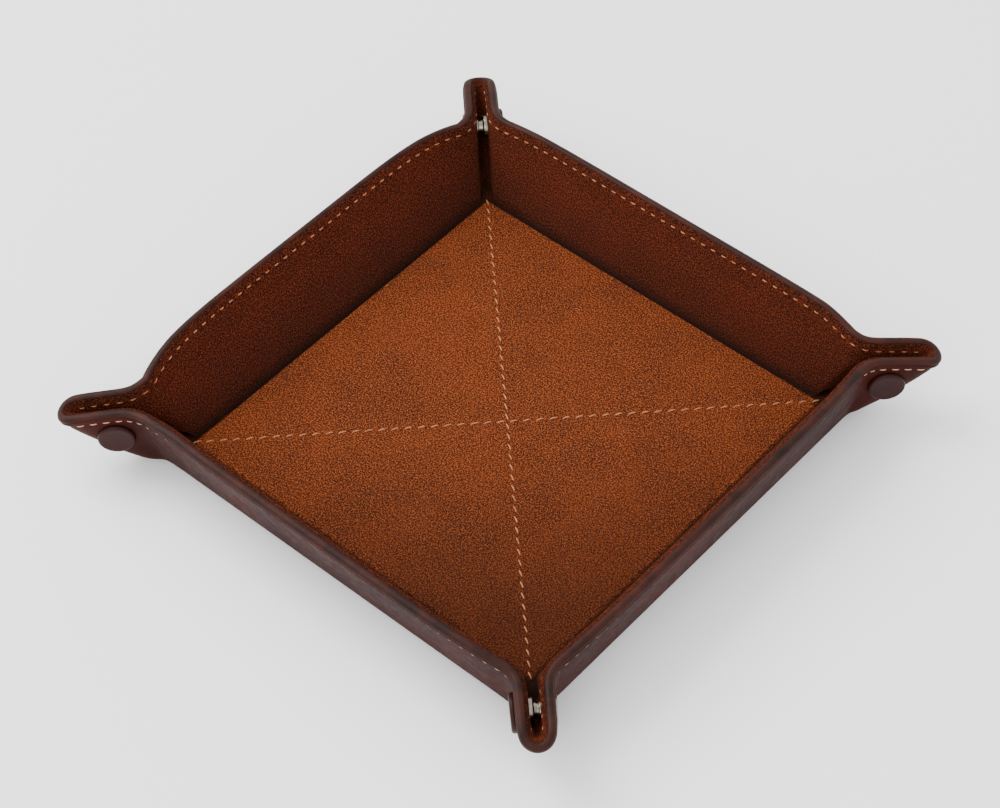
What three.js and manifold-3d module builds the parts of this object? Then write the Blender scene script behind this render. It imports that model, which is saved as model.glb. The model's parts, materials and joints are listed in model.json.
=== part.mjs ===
// Folding tray of leather lined with suede. Four walls stand up around a square floor. At each corner the
// leather is pinched into an ear, and a snap fastener through both halves of the ear holds the walls up.
// Millimetres, +Z up, origin at the middle of the underside. The walls run along X and Y.

import * as THREE from 'three';
import { mergeVertices } from 'three/addons/utils/BufferGeometryUtils.js';
import Module from 'manifold-3d';

const wasm = await Module();
wasm.setup();

// ---- driving dimensions ----

const FLAT_SIDE = 212; // the sheet, laid flat
const WALL_WIDTH = 27; // fold line to rim, along the slope of the wall
const WALL_LEAN = THREE.MathUtils.degToRad(12); // how far each standing wall leans outwards
const CORNER_RADIUS = 8; // round corners of the flat sheet

const LEATHER = 2.2;
const SUEDE = 1.5;
const GAP = 0.3; // clearance between pieces that touch
const SHEET = LEATHER + GAP + SUEDE;

const EAR_OPENING = 3.6; // between the two suede faces of a closed ear
const SNAP_FROM_CREASE = 8; // snap centre, measured in the plane of the ear half
const SNAP_UP_CREASE = 18.6;

const CAP_RADIUS = 6;
const CAP_HEIGHT = 1.4;
const POST_HEAD_RADIUS = 4.8;
const POST_HEAD_HEIGHT = 1;
const SHANK_RADIUS = 1.9;
const SHANK_BORE = 1.2;
const SHEET_HOLE_RADIUS = 2.3;
const SOCKET_RADIUS = 4.8;
const SOCKET_OPENING = 3.3;
const SOCKET_BASE = 0.5;
const STUD_RADIUS = 4.4;
const STUD_KNOB_RADIUS = 2.5;
const STUD_BASE = 0.6;
const STUD_REACH = 0.7; // how far the knob stands past the middle of the ear

const THREAD_WIDTH = 0.8;
const THREAD_HEIGHT = 0.5;
const HEM_FROM_RIM = 4;
const FLOOR_STITCH_HALF = 70; // the crossed seams end at the corners of a square of twice this side

const SNAP_FACETS = 20;
const ARC_STEPS = 6;

// ---- values that follow from them ----

const FOLD_HALF = FLAT_SIDE / 2 - WALL_WIDTH; // middle of the floor to a fold line
const FOLD_ANGLE = Math.PI / 2 - WALL_LEAN; // flat to standing
const EAR_DISTANCE = (EAR_OPENING + SHEET) / 2; // middle of an ear half to the corner's plane of symmetry
const CREASE_SLANT = Math.atan(Math.sin(WALL_LEAN)); // the wall widens upwards by this angle at each end
const CREASE_START = FOLD_HALF - EAR_DISTANCE * Math.SQRT2; // where the crease meets the fold line
const EAR_ANGLE = Math.acos(Math.cos(WALL_LEAN) * Math.SQRT1_2); // wall to ear half
const RIDGE_ANGLE = Math.PI / 4 - CREASE_SLANT; // crease to the ear's folded edge

// Heights through the sheet, measured from its middle. Positive is the suede side.
const OUTER_FACE = -SHEET / 2;
const LEATHER_TOP = OUTER_FACE + LEATHER;
const SUEDE_BOTTOM = LEATHER_TOP + GAP;
const SUEDE_FACE = SHEET / 2;
const THREAD_BOTTOM = SUEDE_FACE + GAP;

// Each layer stops short of a fold, so that it clears its neighbour on the inside of the bend.
const HALF_GAP = GAP / 2;
const LEATHER_FOLD_INSET = GAP;
const SUEDE_FOLD_INSET = SUEDE_FACE * Math.tan(FOLD_ANGLE / 2) + HALF_GAP;
const LEATHER_CREASE_INSET = -OUTER_FACE * Math.tan(EAR_ANGLE / 2) + HALF_GAP;
const SUEDE_CREASE_INSET = HALF_GAP;
const RIDGE_INSET = 1.4; // the ear halves stop short of the ear's folded edge
const EAR_ABOVE_FLOOR = SUEDE_FACE + 0.5; // lowest point of an ear half above the middle of the floor

// ---- materials ----

const finish = (color, roughness, metalness) => () =>
  new THREE.MeshStandardMaterial({ color, roughness, metalness });
const leather = finish(0x3a211b, 0.45, 0);
const suede = finish(0x7a3d1e, 0.95, 0);
const thread = finish(0xb07a58, 0.8, 0);
const capPaint = finish(0x3b2526, 0.35, 0.2);
const nickel = finish(0xb9b6b0, 0.25, 1);

// ---- solids ----

function solidOf(geometry) {
  geometry.deleteAttribute('normal');
  geometry.deleteAttribute('uv');
  const merged = mergeVertices(geometry, 1e-4);
  return new wasm.Manifold(
    new wasm.Mesh({
      numProp: 3,
      vertProperties: new Float32Array(merged.attributes.position.array),
      triVerts: new Uint32Array(merged.index.array),
    }),
  );
}

function geometryOf(solid) {
  const mesh = solid.getMesh();
  const geometry = new THREE.BufferGeometry();
  geometry.setAttribute('position', new THREE.BufferAttribute(mesh.vertProperties, 3));
  geometry.setIndex(new THREE.BufferAttribute(mesh.triVerts, 1));
  geometry.computeVertexNormals();
  return geometry;
}

function prism(points, low, high) {
  const shape = new THREE.Shape(points);
  const geometry = new THREE.ExtrudeGeometry(shape, { depth: high - low, bevelEnabled: false });
  return solidOf(geometry.translate(0, 0, low));
}

// A turned solid on the Z axis. The profile lists radius and height from bottom to top.
function turned(profile) {
  const points = profile.map(([radius, height]) => new THREE.Vector2(radius, height));
  return solidOf(new THREE.LatheGeometry(points, SNAP_FACETS).rotateX(Math.PI / 2));
}

function hole(centre) {
  const radius = SHEET_HOLE_RADIUS;
  const profile = [[0, -SHEET], [radius, -SHEET], [radius, SHEET], [0, SHEET]];
  return turned(profile).translate([centre.x, centre.y, 0]);
}

// A straight stitched thread, as a flat bar between two points of a sheet.
function bar(from, to, low) {
  const across = new THREE.Vector2().subVectors(to, from).normalize();
  across.set(-across.y, across.x).multiplyScalar(THREAD_WIDTH / 2);
  const corners = [
    from.clone().add(across),
    to.clone().add(across),
    to.clone().sub(across),
    from.clone().sub(across),
  ];
  return prism(corners.reverse(), low, low + THREAD_HEIGHT);
}

function mesh(name, solid, material, mirrored = false) {
  const result = new THREE.Mesh(geometryOf(mirrored ? solid.mirror([1, 0, 0]) : solid), material());
  result.name = name;
  return result;
}

const point = (x, y) => new THREE.Vector2(x, y);

// ---- floor ----

function floorPieces() {
  const square = (half) => [point(-half, -half), point(half, -half), point(half, half), point(-half, half)];
  const arm = FLOOR_STITCH_HALF;
  const seam = bar(point(-arm, -arm), point(arm, arm), THREAD_BOTTOM);
  const crossing = bar(point(-arm, arm), point(arm, -arm), THREAD_BOTTOM);
  const group = new THREE.Group();
  group.add(
    mesh('floor_leather', prism(square(FOLD_HALF - LEATHER_FOLD_INSET), OUTER_FACE, LEATHER_TOP), leather),
    mesh('floor_suede', prism(square(FOLD_HALF - SUEDE_FOLD_INSET), SUEDE_BOTTOM, SUEDE_FACE), suede),
    mesh('floor_cross_stitch_thread', seam.add(crossing), thread),
  );
  return group;
}

// ---- walls ----
// A wall lies in its own XY plane: X along the fold line, Y up the slope, Z towards the inside of the tray.

// Half the width of a wall at a height up the slope, cut back from the crease by an inset.
function wallHalf(height, inset) {
  return CREASE_START + height * Math.tan(CREASE_SLANT) - inset / Math.cos(CREASE_SLANT);
}

function wallLayer(foldInset, creaseInset, low, high) {
  const bottom = wallHalf(foldInset, creaseInset);
  const top = wallHalf(WALL_WIDTH, creaseInset);
  const corners = [
    point(-bottom, foldInset),
    point(bottom, foldInset),
    point(top, WALL_WIDTH),
    point(-top, WALL_WIDTH),
  ];
  return prism(corners, low, high);
}

function wallPieces(side) {
  const hemHeight = WALL_WIDTH - HEM_FROM_RIM;
  const hemHalf = wallHalf(hemHeight, THREAD_WIDTH);
  const hem = bar(point(-hemHalf, hemHeight), point(hemHalf, hemHeight), THREAD_BOTTOM);
  return [
    mesh(
      `${side}_wall_leather`,
      wallLayer(LEATHER_FOLD_INSET, LEATHER_CREASE_INSET, OUTER_FACE, LEATHER_TOP),
      leather,
    ),
    mesh(
      `${side}_wall_suede`,
      wallLayer(SUEDE_FOLD_INSET, SUEDE_CREASE_INSET, SUEDE_BOTTOM, SUEDE_FACE),
      suede,
    ),
    mesh(`${side}_wall_hem_thread`, hem, thread),
  ];
}

// ---- ear halves ----
// An ear half lies in its own XY plane: Y up the crease that joins it to the wall, X away from the wall,
// Z towards the other half of the ear. The origin is where the crease meets the fold line.

// A point of the flat sheet, given along and up from the fold corner, in the ear half's plane.
function onEar(along, up) {
  const x = along + EAR_DISTANCE * Math.SQRT2;
  return point(
    x * Math.cos(CREASE_SLANT) - up * Math.sin(CREASE_SLANT),
    x * Math.sin(CREASE_SLANT) + up * Math.cos(CREASE_SLANT),
  );
}

// The ear half is cut off level, just above the floor. Its X axis points down by this slope.
const EAR_AXIS_DROP = Math.sin(CREASE_SLANT) * Math.cos(WALL_LEAN);
const EAR_AXIS_RISE = Math.cos(CREASE_SLANT) * Math.cos(WALL_LEAN);
const restHeight = (x, y) => y * EAR_AXIS_RISE - x * EAR_AXIS_DROP;

function earOutline(creaseInset) {
  const outline = [];
  const radius = CORNER_RADIUS;
  const centre = WALL_WIDTH - radius;
  const ridge = RIDGE_INSET * Math.SQRT1_2;
  const start = onEar(WALL_WIDTH - radius, WALL_WIDTH);
  outline.push(start);
  for (let step = 1; step <= ARC_STEPS; step += 1) {
    const angle = Math.PI / 2 - (step / ARC_STEPS) * (Math.PI / 4);
    outline.push(
      onEar(centre + radius * Math.cos(angle) - ridge, centre + radius * Math.sin(angle) + ridge),
    );
  }
  const foot = onEar(-ridge, ridge);
  const last = outline[outline.length - 1];
  // where the folded edge comes down to the level cut
  const share =
    (EAR_ABOVE_FLOOR - restHeight(foot.x, foot.y)) / (restHeight(last.x, last.y) - restHeight(foot.x, foot.y));
  outline.push(foot.lerp(last, share));
  // where the crease comes down to it
  outline.push(point(creaseInset, (EAR_ABOVE_FLOOR + creaseInset * EAR_AXIS_DROP) / EAR_AXIS_RISE));
  outline.push(
    point(creaseInset, (WALL_WIDTH + creaseInset * Math.sin(CREASE_SLANT)) / Math.cos(CREASE_SLANT)),
  );
  return outline.reverse();
}

function earLayer(creaseInset, low, high) {
  const outline = earOutline(creaseInset);
  return prism(outline, low, high).subtract(hole(point(SNAP_FROM_CREASE, SNAP_UP_CREASE)));
}

function earPieces(name, mirrored) {
  const hemHeight = WALL_WIDTH - HEM_FROM_RIM;
  const hemEnd = onEar(WALL_WIDTH - CORNER_RADIUS - HEM_FROM_RIM, hemHeight);
  const hemX = SUEDE_CREASE_INSET + THREAD_WIDTH;
  const hemStart = point(hemX, (hemHeight + hemX * Math.sin(CREASE_SLANT)) / Math.cos(CREASE_SLANT));
  return [
    mesh(`${name}_ear_leather`, earLayer(LEATHER_CREASE_INSET, OUTER_FACE, LEATHER_TOP), leather, mirrored),
    mesh(`${name}_ear_suede`, earLayer(SUEDE_CREASE_INSET, SUEDE_BOTTOM, SUEDE_FACE), suede, mirrored),
    mesh(`${name}_ear_hem_thread`, bar(hemStart, hemEnd, THREAD_BOTTOM), thread, mirrored),
  ];
}

// ---- snap fasteners ----
// Turned parts on the Z axis of the ear half, at the snap's centre.

const SHANK_TOP = SUEDE_FACE + HALF_GAP;
const SNAP_SEAT = SUEDE_FACE + GAP;

// A flat head on the outer face with a hollow shank through the sheet.
function headWithShank(headRadius, headHeight) {
  const top = OUTER_FACE - GAP;
  const bottom = top - headHeight;
  const edge = headHeight * 0.35;
  return turned([
    [0, bottom],
    [headRadius - edge * 1.6, bottom],
    [headRadius - edge * 0.4, bottom + edge * 0.5],
    [headRadius, bottom + edge * 1.6],
    [headRadius, top],
    [SHANK_RADIUS, top],
    [SHANK_RADIUS, SHANK_TOP],
    [SHANK_BORE, SHANK_TOP],
    [SHANK_BORE, top],
    [0, top],
  ]);
}

function socket() {
  const top = EAR_DISTANCE - HALF_GAP;
  return turned([
    [SHANK_BORE, SNAP_SEAT],
    [SOCKET_RADIUS, SNAP_SEAT],
    [SOCKET_RADIUS, top - SOCKET_BASE],
    [SOCKET_RADIUS - SOCKET_BASE, top],
    [SOCKET_OPENING, top],
    [SOCKET_OPENING, SNAP_SEAT + SOCKET_BASE],
    [SHANK_BORE, SNAP_SEAT + SOCKET_BASE],
    [SHANK_BORE, SNAP_SEAT],
  ]);
}

function stud() {
  const top = EAR_DISTANCE + STUD_REACH;
  const waist = STUD_KNOB_RADIUS - 0.3;
  return turned([
    [SHANK_BORE, SNAP_SEAT],
    [STUD_RADIUS, SNAP_SEAT],
    [STUD_RADIUS, SNAP_SEAT + STUD_BASE],
    [waist, SNAP_SEAT + STUD_BASE],
    [STUD_KNOB_RADIUS, top - 0.8],
    [STUD_KNOB_RADIUS - 0.5, top],
    [SHANK_BORE, top],
    [SHANK_BORE, SNAP_SEAT],
  ]);
}

function snapPieces(corner, hasCap) {
  if (hasCap) {
    return [
      mesh(`${corner}_snap_cap`, headWithShank(CAP_RADIUS, CAP_HEIGHT), capPaint),
      mesh(`${corner}_snap_socket`, socket(), nickel),
    ];
  }
  return [
    mesh(`${corner}_snap_post`, headWithShank(POST_HEAD_RADIUS, POST_HEAD_HEIGHT), nickel),
    mesh(`${corner}_snap_stud`, stud(), nickel),
  ];
}

// ---- assembly ----

// Each wall is the back wall turned about Z. Seen from inside, its ends are at +X (right) and -X (left).
const WALLS = [
  { side: 'back', right: 'back_right', left: 'back_left', caps: ['back_left'] },
  { side: 'left', right: 'back_left', left: 'front_left', caps: [] },
  { side: 'front', right: 'front_left', left: 'front_right', caps: ['front_left', 'front_right'] },
  { side: 'right', right: 'front_right', left: 'back_right', caps: ['back_right'] },
];

function earGroup(wall, corner, mirrored) {
  const sign = mirrored ? -1 : 1;
  const crease = new THREE.Group();
  crease.position.set(sign * CREASE_START, 0, 0);
  crease.rotation.z = -sign * CREASE_SLANT;
  const half = new THREE.Group();
  half.rotation.y = sign * EAR_ANGLE;
  half.add(...earPieces(`${corner}_${wall.side}`, mirrored));
  const snap = new THREE.Group();
  snap.position.set(sign * SNAP_FROM_CREASE, SNAP_UP_CREASE, 0);
  snap.add(...snapPieces(corner, wall.caps.includes(corner)));
  half.add(snap);
  crease.add(half);
  return crease;
}

function wallGroup(wall, index) {
  const turn = new THREE.Group();
  turn.rotation.z = (index * Math.PI) / 2;
  const slope = new THREE.Group();
  slope.position.set(0, FOLD_HALF, 0);
  slope.rotation.x = FOLD_ANGLE;
  slope.add(...wallPieces(wall.side), earGroup(wall, wall.right, false), earGroup(wall, wall.left, true));
  turn.add(slope);
  return turn;
}

const tray = new THREE.Group();
tray.position.z = SHEET / 2;
tray.add(floorPieces(), ...WALLS.map(wallGroup));

export default tray;
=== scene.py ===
"""Looks of the folding tray: stitched leather and suede, folded up from one flat sheet.

Each soft piece is a part of the flat sheet. A point of the flat sheet has x and y in millimetres from its
middle, and a height through the sheet from the middle of its thickness. Every wall is worked out as the
back wall, whose y points away from the middle, and is then turned into its place.
"""

import functools
import json
import math

import bpy
import numpy as np
from mathutils import Matrix, Vector


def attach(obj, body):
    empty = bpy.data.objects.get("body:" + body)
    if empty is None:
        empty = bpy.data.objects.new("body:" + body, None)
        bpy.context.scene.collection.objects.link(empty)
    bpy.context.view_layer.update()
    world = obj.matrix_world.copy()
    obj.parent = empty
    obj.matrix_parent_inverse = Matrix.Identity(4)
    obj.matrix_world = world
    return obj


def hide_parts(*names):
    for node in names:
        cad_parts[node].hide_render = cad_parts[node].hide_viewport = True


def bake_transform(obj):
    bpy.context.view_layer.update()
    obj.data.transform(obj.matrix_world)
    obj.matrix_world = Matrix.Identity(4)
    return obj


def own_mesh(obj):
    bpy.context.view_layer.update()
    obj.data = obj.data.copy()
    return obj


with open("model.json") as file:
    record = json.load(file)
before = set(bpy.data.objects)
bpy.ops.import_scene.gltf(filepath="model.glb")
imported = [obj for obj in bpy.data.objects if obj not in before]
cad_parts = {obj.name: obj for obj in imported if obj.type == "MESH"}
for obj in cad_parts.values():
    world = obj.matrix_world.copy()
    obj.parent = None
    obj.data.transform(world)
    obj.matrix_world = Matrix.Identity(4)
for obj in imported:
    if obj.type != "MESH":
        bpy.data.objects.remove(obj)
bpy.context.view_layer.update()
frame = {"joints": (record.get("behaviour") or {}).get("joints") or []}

MM = 0.001

# ---- sizes, in millimetres ----

joint_places = {joint["name"]: joint["pos_m"] for joint in frame["joints"]}
FOLD = joint_places["back_wall_hinge"][1] / MM  # middle of the floor to a fold
HALF_SHEET = joint_places["back_wall_hinge"][2] / MM  # half the thickness of leather and suede together
CREASE_START = joint_places["back_right_back_ear_crease"][0] / MM
EAR_DISTANCE = (FOLD - CREASE_START) / math.sqrt(2)  # middle of an ear half to the plane between them

WALL_WIDTH = 28.5  # from the fold to the rim, a little more than the CAD's, to match the photo
RIM = FOLD + WALL_WIDTH
CORNER_RADIUS = 10.5
LEATHER_TOP = 0.2  # height of the face between leather and suede
LEAN = math.radians(12)
CREASE_SLANT = math.atan(math.sin(LEAN))
SNAP_FROM_CREASE = 8.7
SNAP_UP_CREASE = 20.6

CAP_RADIUS = 6
CAP_THICKNESS = 1.5
POST_RADIUS = 4.8
POST_THICKNESS = 0.9
SOCKET_RADIUS = 4.1
SOCKET_BORE = 2.8
STUD_RADIUS = 2.5
STUD_BASE_RADIUS = 2.7
STUD_NECK_RADIUS = 2.2
SNAP_HOLE_RADIUS = 1.2
SNAP_BEND = 0.6  # radius of the round edges of socket and stud
SNAP_SUNK = 0.1  # how deep socket and stud sit in the suede

FLOOR_EDGE = 71.8  # the floor piece ends here along the middle of each wall
FLOOR_EDGE_TURN = 54  # from here on its edge runs out to the fold
WALL_BEND_REACH = 5  # how far either side of the fold the sheet bends
WALL_END = 69.8  # the wall piece ends here, before the crease to the ear
CREASE_MIDDLE = (76.4, 93.5)  # the crease between wall and ear, halfway up
FOLD_WRAP = math.pi / 2 * EAR_DISTANCE  # flat width of half of the ear's folded edge
FOLD_CUT_ANGLE = math.pi / 4 + math.asin(FOLD_WRAP / CORNER_RADIUS)  # where the round corner meets it
FLAP_WIDTH = 4.8
FLAP_HEIGHTS = (0.5, 1.2)
FLAP_START = 0.02  # shares of the way up the ear
FLAP_END = 0.86
GUSSET_REACH = 10
GUSSET_HALF_THICKNESS = 1.1

OUTER_DIP = 0.3  # how deep the hem's stitches pull in the leather
LINING_DIP = 0.25  # and the suede
DIP_WIDTH = 0.8
SWELL = 0.25  # how full the leather is between the hem and the rim
SWELL_FROM_RIM = 1.7
SWELL_WIDTH = 1.0
OUTER_ROUNDING = 1.0  # how far the leather's face turns in at the rim
OUTER_ROUNDING_WIDTH = 1.3
BETWEEN_TURN = 0.9  # how far the face between the two layers turns out at the rim
BETWEEN_TURN_WIDTH = 3
LINING_CUT_BACK = 2.6  # how far the suede's face sinks at the rim
LINING_CUT_BACK_WIDTH = 1.4

BEAD_FROM_RIM = -0.6  # middle of the burnished edge's round, out from the rim
BEAD_HEIGHT = -0.55
BEAD_REACH = 0.9
BEAD_HALF_THICKNESS = 1.35
BEAD_BACK = -1.5  # its flat back, inside the sheet
BEAD_BACK_HEIGHTS = (0.6, -1.6)

HEM_FROM_RIM = 3
STITCH_PITCH = 4.2
CROSS_STITCH_LENGTH = 2.5
CROSS_STITCH_SLANT = 0.25
CROSS_SEAM_END = 72  # how far the crossed seams run, along X and along Y
CROSS_SUNK_BELOW = 0.35  # how deep their stitches sit in the underside
STITCH_RADIUS = 0.23
STITCH_TIP = 0.55  # share of a stitch's radius that is left at its tips
STITCH_FLATNESS = 0.85
STITCH_HUMP = 0.28
STITCH_SUNK = 0.12
# the hem's two faces: the height of each, the side it looks to, and the length of its stitches
SEAM_SIDES = (("inside", HALF_SHEET - LINING_DIP, 1, 1.9), ("outside", OUTER_DIP - HALF_SHEET, -1, 2.7))

LINING_FOLD = 72  # the lining bunches up inside the fold, so its crease lies nearer the middle
LINING_LEAN = math.radians(27)
LINING_EAR_DISTANCE = 2.1
LINING_BEND_TOP = 20  # how far up the bunched lining reaches
LINING_CUT = 4  # how far short of the corner's diagonal it ends, along the wall
LINING_SHELL = 0.8
LINING_OVERLAP = 0.2  # how far it starts inside its crease
LINING_FLOOR = 2 * HALF_SHEET - 0.1  # height over the table of the floor's suede, less a little overlap
LINING_FOOT_DIP = 1.5  # how much lower it starts, inside the groove
LINING_FOOT_RISE = 3.5  # flat width of that dip
GROOVE_DEPTH = 1.3
GROOVE_WIDTH = 0.8

BEND_TIGHT = 1.4  # softness of the folds
BEND_WIDE = 3.2  # softness of the creases at the rim
BEND_WIDENS = 20  # distance from the corner's diagonal over which it widens
BEND_WIDE_START = 3  # distances above the fold over which it widens
BEND_WIDE_FULL = 17
BEND_LINING = 0.9
# how much lower each ear's tip hangs, and how much farther out
EAR_DROP = {"back_right": 2.8, "back_left": 1.2, "front_left": 3.4, "front_right": 2.6}
EAR_REACH = {"back_right": -1.5, "back_left": 0.5, "front_left": 1.5, "front_right": -1.0}
EAR_DROP_START = 101  # distance along the diagonal from which the leather hangs lower
EAR_DROP_FULL = 117
EAR_DROP_HEIGHT = 5
EAR_BELLY = 1.4  # how far the ear's folded edge sags between its foot and its tip
EAR_BELLY_WIDTH = 5
EAR_BELLY_START = (114, 122)  # distances along the diagonal over which it begins to sag
EAR_BELLY_END = (130, 142)
BOW = {"back": 1.6, "left": 6.6, "front": 2.4, "right": 1.6}  # how far the middle of each rim bows out
BOW_FLATNESS = 6  # the higher, the straighter the bowed middle
BOW_UPWARDS = 1.5  # how the bow grows from the fold up
BOW_TOP = 1.2  # share of the wall's height above which it grows no more

GRID_STEP = 0.5
GRID_START = -14
GRID_END = 122
NORMAL_STEP = 0.4  # flat distance over which the sheet's slope is taken

WALLS = ["back", "left", "front", "right"]
# the corners at the two ends of each wall, by the sign of the wall's x there
CORNERS = {
    "back": {1: "back_right", -1: "back_left"},
    "left": {1: "back_left", -1: "front_left"},
    "front": {1: "front_left", -1: "front_right"},
    "right": {1: "front_right", -1: "back_right"},
}
# the wall whose half of the ear carries the cap
CAP_SIDE = {"back_right": "right", "back_left": "back", "front_left": "front", "front_right": "front"}


def smoothstep(low, high, value):
    share = np.clip((np.asarray(value, float) - low) / (high - low), 0, 1)
    return share * share * (3 - 2 * share)


# ---- the folded sheet ----


def sharp_fold(x, y, fold, lean, distance):
    """Where a sheet lies with sharp folds, on the back wall's side of the diagonal.

    fold is from the middle to the fold, and distance from each ear half to the ear's plane of symmetry.
    """
    up = y - fold
    slant = math.atan(math.sin(lean))
    crease_start = fold - distance * math.sqrt(2)
    wrap = math.pi / 2 * distance
    crease = np.array(
        [math.sin(slant), math.cos(slant) * math.sin(lean), math.cos(slant) * math.cos(lean)]
    )
    rise = crease[2]
    run = math.sqrt(1 - rise * rise)
    outwards = np.array([rise / math.sqrt(2), rise / math.sqrt(2), -run])
    start = np.array([crease_start, fold, 0])
    sideways = np.array([-1, 1, 0]) / math.sqrt(2)

    # the folded edge takes a quarter circle out of each half
    across = (y - x) / math.sqrt(2)
    turn = np.clip(across / distance, -1, math.pi / 2)
    reach = np.where(across < wrap, wrap - distance * np.cos(turn) - across, 0)
    flat_x = x - reach / math.sqrt(2) - crease_start
    flat_y = up + reach / math.sqrt(2)
    ear_x = flat_x * math.cos(slant) - flat_y * math.sin(slant)
    ear_y = flat_x * math.sin(slant) + flat_y * math.cos(slant)
    ear = start + ear_x[..., None] * outwards + ear_y[..., None] * crease
    ear = ear + (distance * np.sin(turn) - distance)[..., None] * sideways

    floor = np.stack([x, y, np.zeros_like(x)], -1)
    wall = np.stack([x, fold + up * math.sin(lean), up * math.cos(lean)], -1)
    on_ear = x > crease_start + up * math.tan(slant)
    standing = np.where(on_ear[..., None], ear, wall)
    return np.where((y <= fold)[..., None], floor, standing)


def blurred(grid, softness):
    """The grid of points averaged over a bell curve of that width."""
    reach = int(3 * softness / GRID_STEP)
    steps = np.arange(-reach, reach + 1) * GRID_STEP
    weights = np.exp(-0.5 * (steps / softness) ** 2)
    weights /= weights.sum()
    for axis in (0, 1):
        padding = [(0, 0)] * 3
        padding[axis] = (reach, reach)
        padded = np.pad(grid, padding, mode="reflect", reflect_type="odd")
        total = np.zeros_like(grid)
        for number, weight in enumerate(weights):
            part = [slice(None)] * 3
            part[axis] = slice(number, number + grid.shape[axis])
            total += weight * padded[tuple(part)]
        grid = total
    return grid


def sharp_quarter(x, y, *shape):
    """The quarter of a sheet around one corner, with sharp folds."""
    back = sharp_fold(np.minimum(x, y), np.maximum(x, y), *shape)
    mirrored = back[..., [1, 0, 2]]
    return np.where((y >= x)[..., None], back, mirrored)


def quarter_grid():
    """The flat points of the grid that the folded sheet is worked out on."""
    line = np.arange(GRID_START, GRID_END + GRID_STEP, GRID_STEP)
    return np.meshgrid(line, line, indexing="ij")


def soft_sheet():
    """A grid of the middle of the sheet. Its creases soften towards the rim, away from the snaps."""
    x, y = quarter_grid()
    sharp = sharp_quarter(x, y, FOLD, LEAN, EAR_DISTANCE)
    tight = blurred(sharp, BEND_TIGHT)
    wide = blurred(sharp, BEND_WIDE)
    share = smoothstep(0, BEND_WIDENS, np.abs(y - x) / math.sqrt(2))
    share = share * smoothstep(FOLD + BEND_WIDE_START, FOLD + BEND_WIDE_FULL, np.maximum(x, y))
    return tight * (1 - share[..., None]) + wide * share[..., None]


def soft_lining():
    """A grid of the lining's face where it bunches up inside the folds."""
    x, y = quarter_grid()
    return blurred(sharp_quarter(x, y, LINING_FOLD, LINING_LEAN, LINING_EAR_DISTANCE), BEND_LINING)


SHEET_GRID = soft_sheet()
LINING_GRID = soft_lining()


def read_grid(grid, x, y):
    """The softened sheet at any point, between the points of the grid."""
    column = (np.asarray(x, float) - GRID_START) / GRID_STEP
    row = (np.asarray(y, float) - GRID_START) / GRID_STEP
    left = np.clip(np.floor(column).astype(int), 0, grid.shape[0] - 2)
    low = np.clip(np.floor(row).astype(int), 0, grid.shape[1] - 2)
    a = (column - left)[..., None]
    b = (row - low)[..., None]
    lower = grid[left, low] * (1 - a) + grid[left + 1, low] * a
    upper = grid[left, low + 1] * (1 - a) + grid[left + 1, low + 1] * a
    return lower * (1 - b) + upper * b


def folded_up(wall, grid, rise, x, y):
    """A grid's sheet as it stands, for points on one wall's side. rise is its height over the table."""
    x = np.asarray(x, float)
    y = np.asarray(y, float)
    side = np.where(x < 0, -1.0, 1.0)
    points = read_grid(grid, np.abs(x), y)
    outwards = (points[..., 0] + points[..., 1]) / math.sqrt(2)
    left, right = CORNERS[wall][-1], CORNERS[wall][1]
    drop, reach = (np.where(x < 0, sizes[left], sizes[right]) for sizes in (EAR_DROP, EAR_REACH))
    hangs = smoothstep(EAR_DROP_START, EAR_DROP_FULL, outwards)
    hangs = hangs * smoothstep(0, EAR_DROP_HEIGHT, points[..., 2])
    points[..., :2] += (reach * hangs / math.sqrt(2))[..., None]
    along = np.clip(1 - (x / CREASE_START) ** BOW_FLATNESS, 0, 1)
    up = np.clip(points[..., 2] / (WALL_WIDTH * math.cos(LEAN)), 0, BOW_TOP)
    points[..., 0] *= side
    points[..., 1] += BOW[wall] * along * up**BOW_UPWARDS
    from_ridge = (y - np.abs(x)) / math.sqrt(2)
    belly = smoothstep(*EAR_BELLY_START, outwards) * (1 - smoothstep(*EAR_BELLY_END, outwards))
    belly = EAR_BELLY * belly * np.exp(-((from_ridge / EAR_BELLY_WIDTH) ** 2))
    points[..., 2] += rise - drop * hangs - belly
    return points


def as_arrays(*values):
    return np.broadcast_arrays(*(np.asarray(value, float) for value in values))


def turned(x, y, quarters):
    """Flat points turned about the middle by that many quarter turns."""
    angle = quarters * math.pi / 2
    return x * math.cos(angle) - y * math.sin(angle), x * math.sin(angle) + y * math.cos(angle)


def turn_matrix(wall):
    """The turn from the back wall to this wall."""
    angle = WALLS.index(wall) * math.pi / 2
    cos, sin = math.cos(angle), math.sin(angle)
    return np.array([[cos, -sin, 0], [sin, cos, 0], [0, 0, 1]])


def place(wall, x, y, height, grid=SHEET_GRID, rise=HALF_SHEET):
    """Where flat points of a wall's side lie, in metres, that far above a sheet, and the sheet's normals.

    The normals point to the lining's side.
    """
    x, y, height = as_arrays(x, y, height)
    step = NORMAL_STEP
    points = folded_up(wall, grid, rise, x, y)
    along = folded_up(wall, grid, rise, x + step, y) - folded_up(wall, grid, rise, x - step, y)
    up = folded_up(wall, grid, rise, x, y + step) - folded_up(wall, grid, rise, x, y - step)
    normal = np.cross(along, up)
    normal /= np.linalg.norm(normal, axis=-1, keepdims=True)
    points = points + normal * height[..., None]
    turn = turn_matrix(wall)
    return points @ turn.T * MM, normal @ turn.T


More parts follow.
